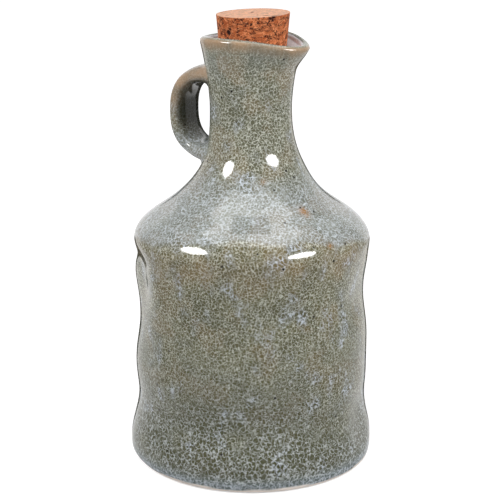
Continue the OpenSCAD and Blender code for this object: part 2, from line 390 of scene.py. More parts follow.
# %% The strap handle
FILLET = 3.2 * MM
ROOT_SWELL, SWELL_FROM, SWELL_RUN = 1.25, 55, 43


def above_neck(points):
    """How far points lie outside the neck's skin, measured level with each."""
    around = np.degrees(np.arctan2(points[..., 1], points[..., 0]))
    mean_r = np.interp(points[..., 2], outline[:, 0], outline[:, 1])
    return np.hypot(points[..., 0], points[..., 1]) - mean_r - marks(points[..., 2], around)


def strap_rings(steps=120, cols=56):
    """Sections square to the middle line, swollen at the roots and spread where they meet the
    neck: by the fillet times 1 less the root of 1 less the square of the nearness."""
    a = np.linspace(ROOT_TURN, -ROOT_TURN, steps + 1)
    along = strap_middle(a - 0.5) - strap_middle(a + 0.5)
    along /= np.linalg.norm(along, axis=1)[:, None]
    out = np.stack([along[:, 1], -along[:, 0]], -1)[:, None, :]
    swell = (1 + (ROOT_SWELL - 1) * ease((np.abs(a) - SWELL_FROM) / SWELL_RUN))[:, None]
    b = np.arange(cols)[None, :] * 360 / cols
    across = swell * STRAP_W / 2 * rounded(b, STRAP_SQUARE)
    through = swell * STRAP_T / 2 * rounded(90 - b, STRAP_SQUARE)
    middle = strap_middle(a)[:, None, :]
    flat = middle + through[..., None] * out
    points = np.stack([flat[..., 0], -across, flat[..., 1]], -1)
    away = above_neck(points)
    near = np.clip(1 - away / FILLET, 0, 1)
    spread = 1 + FILLET * (1 - np.sqrt(1 - near * near)) / np.hypot(across, through)
    flat = middle + (through * spread)[..., None] * out
    points = np.stack([flat[..., 0], -across * spread, flat[..., 1]], -1)
    reach = np.hypot(points[..., 0], points[..., 1])
    points[..., :2] *= (1 + (away - above_neck(points)) * (near > 0) / reach)[..., None]
    return points


strap = strap_rings()
print("strap mm:", np.ptp(strap.reshape(-1, 3), axis=0) / MM)

# %% [markdown]
# One glaze covers the pot, but it looks different wherever it lies thick or thin: it pools
# pale on the shoulder, breaks to rust where an edge leaves it thin, and stops just above
# the surface that the pot stands on. The pale on the shoulder is partly the pooled glaze
# and partly a painted reflection of the lamp overhead, and the mouth is painted near white,
# as painted light and reflection. Those places follow from the shape, so they are worked
# out here as numbers on each point, for the material to read. They could be painted by
# hand, but then each change of shape would mean painting them again.

# %% Where the pot's glaze is thick, thin or missing
FOOT_LINE = 2.3 * MM
POOL_LOW, POOL_HIGH, POOL_WANDER, POOL_RIPPLE = 120 * MM, 139 * MM, 4.5 * MM, 0.8 * MM
RIM_BREAK, RIM_EDGE = 8 * MM, 1.2 * MM
CORNER_H, CORNER_HALF = 113 * MM, 8 * MM
# Each spot where iron broke through: angle, height mm, half angle, half height mm, strength
RUST_SPOTS = np.array([[-19, 136, 3.4, 1.8, 1.0], [-17, 122, 1.5, 1.1, 0.9],
                       [-46, 150, 2.5, 0.9, 0.6], [120, 131, 3, 2, 0.8]])


def pooled_and_sheen(h, a):
    """How thick the glaze lies, and on the shoulder partly a painted reflection of the lamp
    overhead: eased steps up and down in height, whose lower edge wanders.
    """
    wander = POOL_WANDER * np.cos(np.radians(2 * a + 116)) + POOL_RIPPLE * np.sin(np.radians(11 * a + 70))
    # On the shoulder the pale is partly a painted reflection of the lamp overhead.
    shoulder = ease((h - POOL_LOW - wander) / (3.5 * MM)) * (1 - ease((h - POOL_HIGH) / (18 * MM)))
    neck = ease((h - POOL_HIGH) / (12 * MM)) * (1 - ease((h - RIM_H + 22 * MM) / (14 * MM)))
    return 0.37 * shoulder + 0.08 * neck


def breaking(h, a):
    """How thin the glaze lies: most round the rim, less on the shoulder's proud corner."""
    below_rim = RIM_H + rim_lift(RIM_H, a) - h
    edge = ease((RIM_BREAK - below_rim) / (7 * MM)) * (1 - ease((RIM_EDGE - below_rim) / RIM_EDGE))
    return np.maximum(0.85 * edge, 0.15 * bell((h - CORNER_H) / CORNER_HALF))


def pot_masks(grid):
    """Numbers from 0 to 1 on the pot's rings: thick glaze and painted reflection, breaking, bare, shaded
    and spotted.
    """
    h, a = grid[..., 2], np.degrees(np.arctan2(grid[..., 1], grid[..., 0]))
    ring = np.arange(grid.shape[0])[:, None] + 0 * h
    first, last = len(base), len(base) + len(outer) + RIM_STEPS
    outside = (ring >= first) & (ring < last)
    # The mouth is painted near white: painted light and painted reflection.
    mouth = (ring >= last - 5) & (h > RIM_H - SEAT_DEPTH)
    spots = sum(strength * bell(turn_between(a, at) / spread) * bell((h / MM - height) / half)
                for at, height, spread, half, strength in RUST_SPOTS)
    bare_wave = 0.35 * MM * np.sin(np.radians(7 * a + 20)) + 0.25 * MM * np.sin(np.radians(17 * a))
    glazed = ease((h - FOOT_LINE - bare_wave) / (0.5 * MM) + 0.5)
    return {"pool_and_sheen": outside * pooled_and_sheen(h, a) + mouth, "breaks": outside * breaking(h, a) * (1 - mouth),
            "bare": np.where(ring < first, 1, outside * (1 - glazed)), "shade": 0 * h,
            "spots": spots * outside}


pot_mask = pot_masks(pot)
print("share of the pot's points that are bare:", (pot_mask["bare"] > 0.5).mean().round(3))

# %% [markdown]
# The strap is glazed with the pot. Fingers wiped its outer face thinner, so rust shows
# there, most of all high up. Low on the strap more film is painted, as a painted reflection
# of a lamp on the loop's lower inside. Inside the loop the glaze is darkened as painted
# shade and a painted dark reflection of the neck, which a number of its own tells the material.

# %% The strap's glaze, and the crock's mesh


def strap_masks(grid):
    """The same numbers on the strap: eased steps of height and of the way from the loop's middle."""
    h = grid[..., 2]
    out = np.hypot(grid[..., 0] + LOOP_X, h - HANDLE_H)
    outer_face = ease((out - 14 * MM) / (8 * MM))
    # Inside the loop the colour is darkened: painted shade and a painted dark reflection.
    inner_face = 1 - ease((out - 17 * MM) / (3 * MM))
    high = ease((h - HANDLE_H + 6 * MM) / (20 * MM))
    # Low on the strap the film is raised: a painted reflection of a lamp.
    low_painted_sheen = ease((HANDLE_H - 6 * MM - h) / (12 * MM))
    return {"pool_and_sheen": 0.15 + 0.1 * high + 0.28 * low_painted_sheen, "breaks": outer_face * (0.05 + 0.7 * high),
            "bare": 0 * out, "shade": inner_face * ease((h - HANDLE_H + 12 * MM) / (8 * MM)),
            "spots": 0 * out}


def with_poles(values):
    """A grid's numbers in point order, with the two poles' own appended."""
    return np.concatenate([values.ravel(), values[:1].mean(1), values[-1:].mean(1)])


strap_mask = strap_masks(strap)
crock_masks = {name: np.concatenate([with_poles(pot_mask[name]), with_poles(strap_mask[name])])
               for name in pot_mask}
crock_body = mesh_object("crock_body", [capped_shell(pot), capped_shell(strap)], crock_masks)

# %% [markdown]
# The cork is pressed from cork crumbs, turned to a taper, eased at its lower end and sawn
# off a little askew. It is a grid like the pot: rings over the lower end, up the side, and
# inwards over the sawn plane.

# %% The cork's turned shape
CORK_COLS, CORK_BEVEL = 300, 1 * MM
CORK_SLANT, SLANT_SIDE = 2.3, -110


def cork_top_height(x, y):
    """The sawn plane's height: it falls by the slant's tangent towards its low side."""
    side = np.radians(SLANT_SIDE)
    return CORK_TOP_H - np.tan(np.radians(CORK_SLANT)) * (x * np.cos(side) + y * np.sin(side))


def cork_grid(rows=96, cap=26):
    """The cork's rings, and where its side begins and ends among them: a flat end, a side whose
    radius grows by the taper times the height, and rings that shrink over the sawn plane."""
    turn = np.radians(np.arange(CORK_COLS)[None, :] * 360 / CORK_COLS)
    cos, sin = np.cos(turn), np.sin(turn)
    end_r = CORK_END_R - CORK_BEVEL + 0 * turn
    share = np.linspace(0.04, 1, 10)[:, None]
    low = np.stack([end_r * share * cos, end_r * share * sin, CORK_END_H + 0 * share * turn], -1)
    top_r = CORK_TOP_R + 0 * turn
    top_h = cork_top_height(top_r * cos, top_r * sin)
    start_h = CORK_END_H + CORK_BEVEL
    h = start_h + (top_h - start_h) * np.linspace(0, 1, rows)[:, None]
    side_r = CORK_END_R + CORK_TAPER * (h - CORK_END_H)
    side = np.stack([side_r * cos, side_r * sin, h], -1)
    inward = np.concatenate([[0.992], np.linspace(0.975, 0.03, cap)])[:, None]
    last_r = side_r[-1:] * inward
    top = np.stack([last_r * cos, last_r * sin, cork_top_height(last_r * cos, last_r * sin)], -1)
    return np.concatenate([low, side, top]), len(low), len(low) + rows


rings, side_start, side_end = cork_grid()
print("cork rings:", len(rings), "of them up the side:", side_end - side_start)

# %% [markdown]
# Its crumbs have torn out in places and left dark pits, so the pits are real hollows here:
# each one lowers the grid by a hump whose place, size and stretch come from a seeded draw.
# The seed makes every run tear the same pits. A bump texture would darken them too, but
# would leave the cork's outline smooth.

# %% The cork's torn pits
rng = np.random.default_rng(7)
PITS, PIT_R, PIT_RUN, TOP_SHARE = 190, 17.6 * MM, 24 * MM, 0.3
PIT_SMALL, PIT_LARGE, BIG_SHARE = 0.24, 0.55, 0.15
GRAIN, DEEP_PIT, EDGE_SHARE = 0.05 * MM, 0.4 * MM, 0.35


def pit_depths(points):
    """The depth of the pits at each point: the deepest of the humps, round or stretched."""
    depth = np.zeros(points.shape[:-1])
    for _ in range(PITS):
        turn = rng.uniform(0, 2 * np.pi)
        high = rng.uniform(0, 1)
        at = np.array([PIT_R * np.cos(turn), PIT_R * np.sin(turn), CORK_TOP_H - PIT_RUN * high])
        if rng.random() < TOP_SHARE:
            at = np.array([at[0] * np.sqrt(high), at[1] * np.sqrt(high), CORK_TOP_H])
        size = rng.uniform(PIT_SMALL, PIT_LARGE) * MM * (1 + 0.9 * (rng.random() < BIG_SHARE))
        stretch = rng.normal(size=3)
        stretch /= np.linalg.norm(stretch)
        away = points - at
        along = away @ stretch
        reach = np.sqrt(np.maximum((away ** 2).sum(-1) - 0.72 * along ** 2, 0))
        depth = np.maximum(depth, 0.75 * size * bell(reach / size))
    return depth


normal = rings * np.array([1.0, 1.0, 0.0])
normal /= np.maximum(np.linalg.norm(normal, axis=-1, keepdims=True), 1e-9)
normal[side_end:] = [0, 0, 1]
normal[:side_start] = [0, 0, -1]
pits = pit_depths(rings)
grain = GRAIN * rng.normal(size=pits.shape)
near_edge = np.ones(len(rings))
near_edge[side_end - 2:side_end + 1] = EDGE_SHARE
lower = (pits + np.abs(grain)) * near_edge[:, None]
cork_points = rings - normal * lower[..., None] + [CORK_X, 0, 0]
cork_masks = {"pits": with_poles(np.clip(pits / DEEP_PIT, 0, 1)),
              "sawn": with_poles((np.arange(len(rings)) >= side_end)[:, None] + 0.0 * pits)}
cork_body = mesh_object("cork_body", [capped_shell(cork_points)], cork_masks)

# %% [markdown]
# Materials are node trees. A few short helpers keep the code readable: one adds a node and
# plugs its inputs, the others are for the kinds that come back often. They could be wired
# by hand in the shader editor, but written out they can be read from top to bottom.

# %% Helpers for nodes


def add(tree, kind, inputs=None, **settings):
    """A new node: settings are its properties, inputs maps socket names to a value or a socket."""
    node = tree.nodes.new(kind)
    for name, value in settings.items():
        setattr(node, name, value)
    for name, value in (inputs or {}).items():
        socket = node.inputs[name]
        if isinstance(value, bpy.types.NodeSocket):
            tree.links.new(value, socket)
        else:
            socket.default_value = value
    return node


def maths(tree, operation, *values, clamp=False):
    """One Math node's output."""
    node = add(tree, "ShaderNodeMath", dict(enumerate(values)), operation=operation, use_clamp=clamp)
    return node.outputs[0]


def product(tree, first, second):
    """One number times another."""
    return maths(tree, "MULTIPLY", first, second)


def highest(tree, first, *others):
    """The highest of several numbers."""
    for other in others:
        first = maths(tree, "MAXIMUM", first, other)
    return first


def step_between(tree, value, low, high, out_low=0.0, out_high=1.0):
    """A smooth step of a value from low to high, as a Map Range node."""
    inputs = {0: value, 1: low, 2: high, 3: out_low, 4: out_high}
    return add(tree, "ShaderNodeMapRange", inputs, interpolation_type="SMOOTHSTEP").outputs[0]


def blend_colours(tree, share, first, second):
    """A Mix node on colours: share 0 keeps the first, 1 gives the second."""
    return add(tree, "ShaderNodeMix", {0: share, 6: first, 7: second}, data_type="RGBA").outputs[2]


# %% [markdown]
# Patterns read Object coordinates, turned to millimetres once, so that every size below is
# a size on the pot. Noise gives clouds of one size, and a Voronoi pattern gives cells. Both
# are too regular as they come, so they are laid on a vector that a noise has pushed about.

# %% Helpers for patterns


def scaled(tree, vector, share):
    """A vector times a number."""
    return add(tree, "ShaderNodeVectorMath", {0: vector, "Scale": share}, operation="SCALE").outputs[0]


def stretched(tree, vector, factors):
    """A vector times one factor for each direction: a factor below 1 draws a pattern out."""
    return add(tree, "ShaderNodeVectorMath", {0: vector, 1: factors}, operation="MULTIPLY").outputs[0]


def noise(tree, vector, size, detail=2.0, rough=0.5, warp=0.0, output="Fac"):
    """Noise on millimetres whose clouds are about size across."""
    inputs = {"Vector": vector, "Scale": 1 / size, "Detail": detail, "Roughness": rough, "Distortion": warp}
    return add(tree, "ShaderNodeTexNoise", inputs).outputs[output]


def bent_by(tree, vector, size, amount):
    """A vector pushed about by a noise of a size, which bends straight patterns."""
    push = noise(tree, vector, size, detail=1.0, output="Color")
    push = add(tree, "ShaderNodeVectorMath", {0: push, 1: (0.5, 0.5, 0.5)}, operation="SUBTRACT").outputs[0]
    return add(tree, "ShaderNodeVectorMath", {0: vector, 1: scaled(tree, push, amount)}).outputs[0]


def new_group(name, numbers, result):
    """A node group that reads millimetres and some numbers, and gives one number: the tree, its
    inputs by name, and the socket for what it gives."""
    tree = bpy.data.node_groups.new(name, "ShaderNodeTree")
    tree.interface.new_socket("Millimetres", in_out="INPUT", socket_type="NodeSocketVector")
    for label, value in numbers.items():
        socket = tree.interface.new_socket(label, in_out="INPUT", socket_type="NodeSocketFloat")
        socket.default_value = value
    tree.interface.new_socket(result, in_out="OUTPUT", socket_type="NodeSocketFloat")
    given = tree.nodes.new("NodeGroupInput").outputs
    return tree, given, tree.nodes.new("NodeGroupOutput").inputs[result]


def use_group(tree, group, inputs):
    """What a group gives for these inputs, where a material needs it."""
    return add(tree, "ShaderNodeGroup", inputs, node_tree=group).outputs[0]


# %% [markdown]
# As it cools, this glaze parts into pale threads and dark gaps, as fat parts from broth. A
# Voronoi pattern's distance to its cell walls is small along a net of lines, and the lines
# become threads once a noise has bent them. On the pot they are uneven and break off, so a
# second noise thins them here and there. Bands of a noise would give worms of one width.

# %% Threads in the glaze


def glaze_threads_group():
    """Threads on the walls of bent cells: 1 less the distance to the wall over the width, never
    below 0, times a noise that thins them."""
    defaults = {"Cell": 1.7, "Width": 0.14, "Bend": 1.2}
    tree, given, threads = new_group("glaze_threads", defaults, "Threads")
    cells = scaled(tree, given["Millimetres"], maths(tree, "DIVIDE", 1.0, given["Cell"]))
    bent = bent_by(tree, cells, 0.9, given["Bend"])
    walls = add(tree, "ShaderNodeTexVoronoi", {"Vector": bent, "Scale": 1.0, "Randomness": 0.9},
                feature="DISTANCE_TO_EDGE")
    swell = step_between(tree, noise(tree, cells, 0.65, detail=0.0), 0.36, 0.6, 0.4, 1.05)
    away = maths(tree, "DIVIDE", walls.outputs["Distance"], given["Width"])
    thread = maths(tree, "SUBTRACT", 1.0, away, clamp=True)
    tree.links.new(product(tree, thread, swell), threads)
    return tree


glaze_threads = glaze_threads_group()
print(glaze_threads.name, "nodes:", len(glaze_threads.nodes))

# %% [markdown]
# Grains of iron in the clay melt up through the glaze as dark round specks, well apart and
# not evenly. A Voronoi pattern's distance to its points makes one dot in each cell, and the
# cell's own random colour picks which of the dots are there.

# %% Iron specks


def speck_group():
    """Round specks: 1 less the distance to a cell's point over the size, in some cells only."""
    defaults = {"Spacing": 8.0, "Size": 0.35, "Share": 0.5}
    tree, given, dots = new_group("specks", defaults, "Specks")
    cells = scaled(tree, given["Millimetres"], maths(tree, "DIVIDE", 1.0, given["Spacing"]))
    points = add(tree, "ShaderNodeTexVoronoi", {"Vector": cells, "Scale": 1.0})
    away = product(tree, points.outputs["Distance"], given["Spacing"])
    away = maths(tree, "DIVIDE", away, given["Size"])
    dot = maths(tree, "SUBTRACT", 1.0, away, clamp=True)
    sharp = maths(tree, "MULTIPLY", dot, 3.0, clamp=True)
    draw = add(tree, "ShaderNodeSeparateColor", {"Color": points.outputs["Color"]}).outputs["Red"]
    tree.links.new(product(tree, sharp, maths(tree, "LESS_THAN", draw, given["Share"])), dots)
    return tree


specks = speck_group()
print(specks.name, "nodes:", len(specks.nodes))

# %% [markdown]
# Each material starts alike: a Principled shader, its output, and the place in millimetres.
# Colours are written as they look on a screen, from 0 to 255, and turned to the linear
# light that shading needs. The glaze's own are olives and a brown for the ground, pale
# ones for threads and veils, rust, ember and iron where it is thin, and the clay's.

# %% Colours and the start of a material


def srgb(red, green, blue):
    """A colour given on a 0 to 255 scale, turned to linear light."""
    c = np.array([red, green, blue]) / 255
    linear = np.where(c <= 0.04045, c / 12.92, ((c + 0.055) / 1.055) ** 2.4)
    return (*linear.tolist(), 1.0)


def empty_material(name):
    """A material and its node tree, with nothing in it yet."""
    material = bpy.data.materials.new(name)
    material.use_nodes = True
    material.node_tree.nodes.clear()
    return material, material.node_tree


def new_material(name):
    """A material with its shader, and Object coordinates in millimetres."""
    material, tree = empty_material(name)
    shader = add(tree, "ShaderNodeBsdfPrincipled")
    add(tree, "ShaderNodeOutputMaterial", {"Surface": shader.outputs[0]})
    return material, tree, shader, scaled(tree, add(tree, "ShaderNodeTexCoord").outputs["Object"], 1000.0)


def mask(tree, name):
    """A number that a mesh carries on its points."""
    return add(tree, "ShaderNodeAttribute", attribute_name=name).outputs["Fac"]


# The deepest olive is painted shade, for the wall low down where the light falls off.
OLIVE_PAINTED_SHADE, OLIVE_DARK, OLIVE = srgb(63, 64, 38), srgb(78, 77, 53), srgb(94, 92, 66)
BROWN = srgb(110, 94, 62)
CREAM, BLUISH, MILK = srgb(208, 210, 198), srgb(194, 202, 212), srgb(197, 205, 212)
# The palest white is painted light and reflection, for the inside of the mouth.
VEIL, WASH, PALE_PAINTED_LIGHT = srgb(160, 167, 171), srgb(96, 108, 110), srgb(246, 250, 255)
# The darkest olive is painted shade and a painted dark reflection, inside the loop.
RUST, EMBER, IRON, SHADE = srgb(184, 142, 104), srgb(152, 98, 4), srgb(30, 24, 20), srgb(38, 40, 24)
# The clay is painted near white, brighter than its own colour, as painted light against the floor's shadow.
CLAY_PAINTED_LIGHT, GRIT = srgb(250, 240, 232), srgb(206, 188, 174)
print("olive in linear light:", np.round(OLIVE, 3))

# %% [markdown]
# Under the threads lies the ground: olive of two depths that drifts to brown on the neck
# most, and is darkened low on the wall as painted shade, where the light falls off. Where
# the glaze lies thick a milky film veils it, on the shoulder, near the rim and along the
# foot; on the shoulder the film is partly a painted reflection of the lamp overhead, and in
# the mouth it is painted all but white, as painted light and reflection. Slow noises make
# the drifts, and steps of the height put each in its place.

# %% The glaze's ground and its veil


def glaze_ground(tree, mm, height, drift):
    """Olive of two depths by one noise, browned by another, and darkened low down as painted shade."""
    ground = blend_colours(tree, step_between(tree, drift, 0.35, 0.65), OLIVE_DARK, OLIVE)
    browned = step_between(tree, noise(tree, mm, 16, detail=3), 0.47, 0.64)
    browned = product(tree, browned, step_between(tree, height, 180, 205, 0.5, 0.8))
    ground = blend_colours(tree, browned, ground, BROWN)
    # Darker towards the bottom of the wall: painted shade where the light falls off.
    return blend_colours(tree, step_between(tree, height, 90, 14, 0.0, 0.85), ground, OLIVE_PAINTED_SHADE)


def glaze_veil(tree, ground, height, pool_and_sheen, foot):
    """The ground with the film over it, as thick as the pooling, the height and the foot say; on
    the shoulder the film is partly a painted reflection, and the mouth is painted near white.
    """
    veiled = blend_colours(tree, product(tree, foot, 0.75), ground, WASH)
    veiled = blend_colours(tree, product(tree, pool_and_sheen, 0.75), veiled, VEIL)
    veiled = blend_colours(tree, step_between(tree, height, 196, 212, 0.0, 0.16), veiled, VEIL)
    return blend_colours(tree, step_between(tree, pool_and_sheen, 0.65, 0.8), veiled, PALE_PAINTED_LIGHT)


# %% [markdown]
# Two nets of threads lie over it. A fine cream one runs all over the pot and grows broader
# where the glaze pools. A coarser, colder one takes over in patches, low on the wall and
# along the foot, where the glaze ran. Both fade where the glaze breaks and at the rim.

# %% The glaze's two nets
FINE_CELL, FINE_BEND, COARSE_CELL, COARSE_BEND = 1.6, 1.2, 2.2, 1.5


def thread_nets(tree, mm, pool_and_sheen, patches, low, foot):
    """The fine net, and the coarse one instead where patches, low or foot say so."""
    broad = step_between(tree, pool_and_sheen, 0.0, 0.8, 0.15, 0.26)
    fine = {"Millimetres": mm, "Cell": FINE_CELL, "Width": broad, "Bend": FINE_BEND}
    thick = step_between(tree, patches, 0.0, 1.0, 0.13, 0.2)
    thick = maths(tree, "ADD", thick, product(tree, foot, 0.1))
    coarse = {"Millimetres": mm, "Cell": COARSE_CELL, "Width": thick, "Bend": COARSE_BEND}
    nets = {2: use_group(tree, glaze_threads, fine), 3: use_group(tree, glaze_threads, coarse)}
    return add(tree, "ShaderNodeMix", {0: highest(tree, low, patches, foot), **nets}).outputs[0]


def thread_colour(tree, pool_and_sheen, patches, low, foot):
    """Cream, bluish where the net is coarse, and milky where the glaze pools and the painted reflection
    lies.
    """
    cold = highest(tree, patches, product(tree, low, 0.65), foot)
    colour = blend_colours(tree, cold, CREAM, BLUISH)
    return blend_colours(tree, step_between(tree, pool_and_sheen, 0.05, 0.35), colour, MILK)


def thread_strength(tree, threads, height, breaks, patches, low):
    """How much of the ground the threads hide: the nets times three smooth steps."""
    strong = highest(tree, patches, product(tree, low, 0.4))
    strong = product(tree, threads, step_between(tree, strong, 0.0, 1.0, 0.72, 0.95))
    strong = product(tree, strong, step_between(tree, breaks, 0.0, 0.7, 1.0, 0.4))
    return product(tree, strong, step_between(tree, height, 198, 212, 1.0, 0.7))


# %% [markdown]
# Over both come the glaze's flaws, which are half its charm: rust along thin edges, ember
# spots where iron burned through, and the specks, and with them painted shade inside the
# loop. Below the glaze line the clay is bare and rough, and painted near white, brighter
# than its own colour, as painted light against the floor's shadow. All the glaze is glassy,
# so one low roughness does for it, with a very slight bump that makes the reflections waver.

# %% Glazed stoneware


def glaze_flaws_and_painted_shade(tree, mm, glaze, drift, grit, breaks, spots, shade):
    """The glaze with its rust, ember spots, painted shade and specks laid over it."""
    thin = product(tree, breaks, step_between(tree, drift, 0.25, 0.6, 0.35, 1.0))
    glaze = blend_colours(tree, product(tree, thin, 0.62), glaze, RUST)
    ragged = maths(tree, "MULTIPLY", spots, step_between(tree, grit, 0.35, 0.6, 0.3, 1.0), clamp=True)
    glaze = blend_colours(tree, product(tree, ragged, 0.9), glaze, EMBER)
    glaze = blend_colours(tree, product(tree, shade, 0.72), glaze, SHADE)
    iron = use_group(tree, specks, {"Millimetres": mm, "Spacing": 8.0, "Size": 0.75, "Share": 0.6})
    return blend_colours(tree, iron, glaze, IRON)


def glazed_stoneware():
    """The crock's finish, from the nets, the specks and the numbers on its points."""
    material, tree, shader, mm = new_material("glazed_stoneware")
    names = ("pool_and_sheen", "breaks", "bare", "shade", "spots")
    pool_and_sheen, breaks, bare, shade, spots = (mask(tree, name) for name in names)
    height = add(tree, "ShaderNodeSeparateXYZ", {0: mm}).outputs["Z"]
    grit, drift = noise(tree, mm, 0.8, detail=3), noise(tree, mm, 12, warp=0.4)
    pool_and_sheen = product(tree, pool_and_sheen, step_between(tree, drift, 0.34, 0.56, 0.78, 1.0))
    runs = stretched(tree, mm, (1.0, 1.0, 0.75))
    patches = step_between(tree, noise(tree, runs, 10, detail=3), 0.48, 0.7)
    patches = product(tree, patches, step_between(tree, height, 176, 200, 1.0, 0.25))
    low = step_between(tree, noise(tree, mm, 22, detail=3), 0.31, 0.53)
    low = product(tree, step_between(tree, height, 98, 18, 0.0, 0.9), low)
    foot = step_between(tree, height, 11, 4)
    veiled = glaze_veil(tree, glaze_ground(tree, mm, height, drift), height, pool_and_sheen, foot)
    threads = thread_nets(tree, mm, pool_and_sheen, patches, low, foot)
    strong = thread_strength(tree, threads, height, breaks, patches, low)
    glaze = blend_colours(tree, strong, veiled, thread_colour(tree, pool_and_sheen, patches, low, foot))
    glaze = glaze_flaws_and_painted_shade(tree, mm, glaze, drift, grit, breaks, spots, shade)
    # The bare clay's near white is painted light against the floor's shadow.
    clay = blend_colours(tree, product(tree, grit, 0.3), CLAY_PAINTED_LIGHT, GRIT)
    tree.links.new(blend_colours(tree, bare, glaze, clay), shader.inputs["Base Color"])
    tree.links.new(step_between(tree, bare, 0.0, 1.0, 0.08, 0.85), shader.inputs["Roughness"])
    shader.inputs["IOR"].default_value = 1.55
    relief = product(tree, noise(tree, mm, 7, detail=1), 0.022)
    relief = maths(tree, "ADD", relief, product(tree, threads, 0.003))
    relief = maths(tree, "ADD", relief, product(tree, product(tree, grit, bare), 0.08))
    bump = add(tree, "ShaderNodeBump", {"Strength": 1.0, "Distance": 0.001, "Height": relief})
    tree.links.new(bump.outputs[0], shader.inputs["Normal"])
    return material


stoneware_finish = glazed_stoneware()
print(stoneware_finish.name, "nodes:", len(stoneware_finish.node_tree.nodes))

# %% [markdown]
# Pressed cork is a mosaic: crumbs of a few millimetres, pressed flat, each its own shade,
# with dark bark in torn seams between some of them. Cells of a bent Voronoi pattern give
# the crumbs and the seams, a fine noise gives their pores, and the pits carry their own
# number from the mesh. The sawn top is paler, because no hand has darkened it yet.

# %% Pressed cork
CORK_LIGHT, CORK_MID, CORK_DARK = srgb(226, 142, 92), srgb(168, 82, 40), srgb(72, 26, 14)
CORK_PIT, CORK_SAWN = srgb(38, 16, 12), srgb(228, 190, 164)
CRUMBS_PER_MM = 0.62


def pressed_cork():
    """The cork's finish: crumbs of several shades, dark seams, pores, pits and a paler sawn top."""
    material, tree, shader, mm = new_material("pressed_cork")
    pits, sawn = mask(tree, "pits"), mask(tree, "sawn")
    flat = stretched(tree, mm, (1.0, 1.0, 1.6))
    bent = bent_by(tree, flat, 2.4, 3.4)
    crumbs = add(tree, "ShaderNodeTexVoronoi", {"Vector": bent, "Scale": CRUMBS_PER_MM})
    walls = add(tree, "ShaderNodeTexVoronoi", {"Vector": bent, "Scale": CRUMBS_PER_MM},
                feature="DISTANCE_TO_EDGE")
    draw = add(tree, "ShaderNodeSeparateColor", {"Color": crumbs.outputs["Color"]})
    colour = blend_colours(tree, draw.outputs["Red"], CORK_MID, CORK_LIGHT)
    bark = step_between(tree, draw.outputs["Green"], 0.7, 0.95, 0, 0.6)
    colour = blend_colours(tree, bark, colour, CORK_DARK)
    pores = noise(tree, bent, 0.6, detail=3, rough=0.6)
    colour = blend_colours(tree, step_between(tree, pores, 0.5, 0.68, 0, 0.75), colour, CORK_DARK)
    colour = blend_colours(tree, step_between(tree, pores, 0.46, 0.3, 0, 0.5), colour, CORK_LIGHT)
    torn = step_between(tree, noise(tree, flat, 2.5), 0.45, 0.6)
    seam = step_between(tree, walls.outputs["Distance"], 0.16, 0.04)
    colour = blend_colours(tree, product(tree, seam, torn), colour, CORK_PIT)
    colour = blend_colours(tree, product(tree, sawn, 0.6), colour, CORK_SAWN)
    colour = blend_colours(tree, step_between(tree, pits, 0.2, 0.8), colour, CORK_PIT)
    tree.links.new(colour, shader.inputs["Base Color"])
    shader.inputs["Roughness"].default_value = 0.8
    shader.inputs["Specular IOR Level"].default_value = 0.2
    relief = maths(tree, "SUBTRACT", product(tree, pores, -0.3), product(tree, seam, 0.2))
    bump = add(tree, "ShaderNodeBump", {"Strength": 0.8, "Distance": 0.001, "Height": relief})
    tree.links.new(bump.outputs[0], shader.inputs["Normal"])
    return material


cork_finish = pressed_cork()
print(cork_finish.name, "nodes:", len(cork_finish.node_tree.nodes))

# %% [markdown]
# Each new piece takes its material and rides on its body of the imported model, so the cork
# moves when its joint does. It replaces the plain solid, which is hidden.

# %% Finishes on the pieces
for piece, material, body, slot_name in ((crock_body, stoneware_finish, "crock", "glazed_stoneware"),
                                         (cork_body, cork_finish, "cork", "cork")):
    piece.data.materials.append(material)
    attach(piece, body)
    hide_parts(body)
    print(piece.name, "rides on", body, "in", material.name)

# %% [markdown]
# The photo was taken in a white room. A glossy glaze shows that room as much as its own
# colour, so the room is built too. White comes from what the camera and the reflections
# see of the floor and the sky, and not from more light on the pot, so the colours stay
# near the ones written above. The floor is matt, but it also glows for the camera, which
# lets it be white and still keep the pot's shadow.

# %% The floor
VIEW_TURN = np.radians(32)
BACK = np.array([-np.sin(VIEW_TURN), np.cos(VIEW_TURN), 0])
RIGHT = np.array([np.cos(VIEW_TURN), np.sin(VIEW_TURN), 0])
UP = np.array([0, 0, 1.0])
FLOOR_HALF, FLOOR_H, SWEEP_AWAY = 6.0, -0.0001, 0.3


def sheet(name, corners, material):
    """A flat sheet for the stage, with one face and one material."""
    mesh = bpy.data.meshes.new(name)
    mesh.from_pydata(np.array(corners).tolist(), [], [tuple(range(len(corners)))])
    mesh.materials.append(material)
    thing = bpy.data.objects.new(name, mesh)
    bpy.context.collection.objects.link(thing)
    return thing


